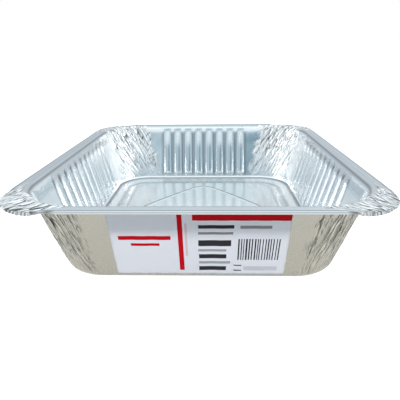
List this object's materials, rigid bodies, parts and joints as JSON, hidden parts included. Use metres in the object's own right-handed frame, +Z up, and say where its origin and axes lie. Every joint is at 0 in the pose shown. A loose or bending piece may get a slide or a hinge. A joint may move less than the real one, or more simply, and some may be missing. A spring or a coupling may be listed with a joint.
{
  "type": "foil roasting pan",
  "caption": "Rectangular roasting pan pressed from foil, with fluted walls, gathered corners, a creased flange, a rolled edge and a paper label on one end wall.",
  "frame": {"origin": "middle of the overall box, at the level of the ring the pan stands on", "axes": "+Z up out of the pan, +Y along its length away from the labelled end wall, +X across it"},
  "size_m": [0.27, 0.303, 0.066],
  "materials": {
    "foil": "bright rolled foil",
    "label": "smooth white print paper"
  },
  "bodies": {
    "root": {"foil_tray": "foil", "paper_label": "label"}
  },
  "joints": []
}
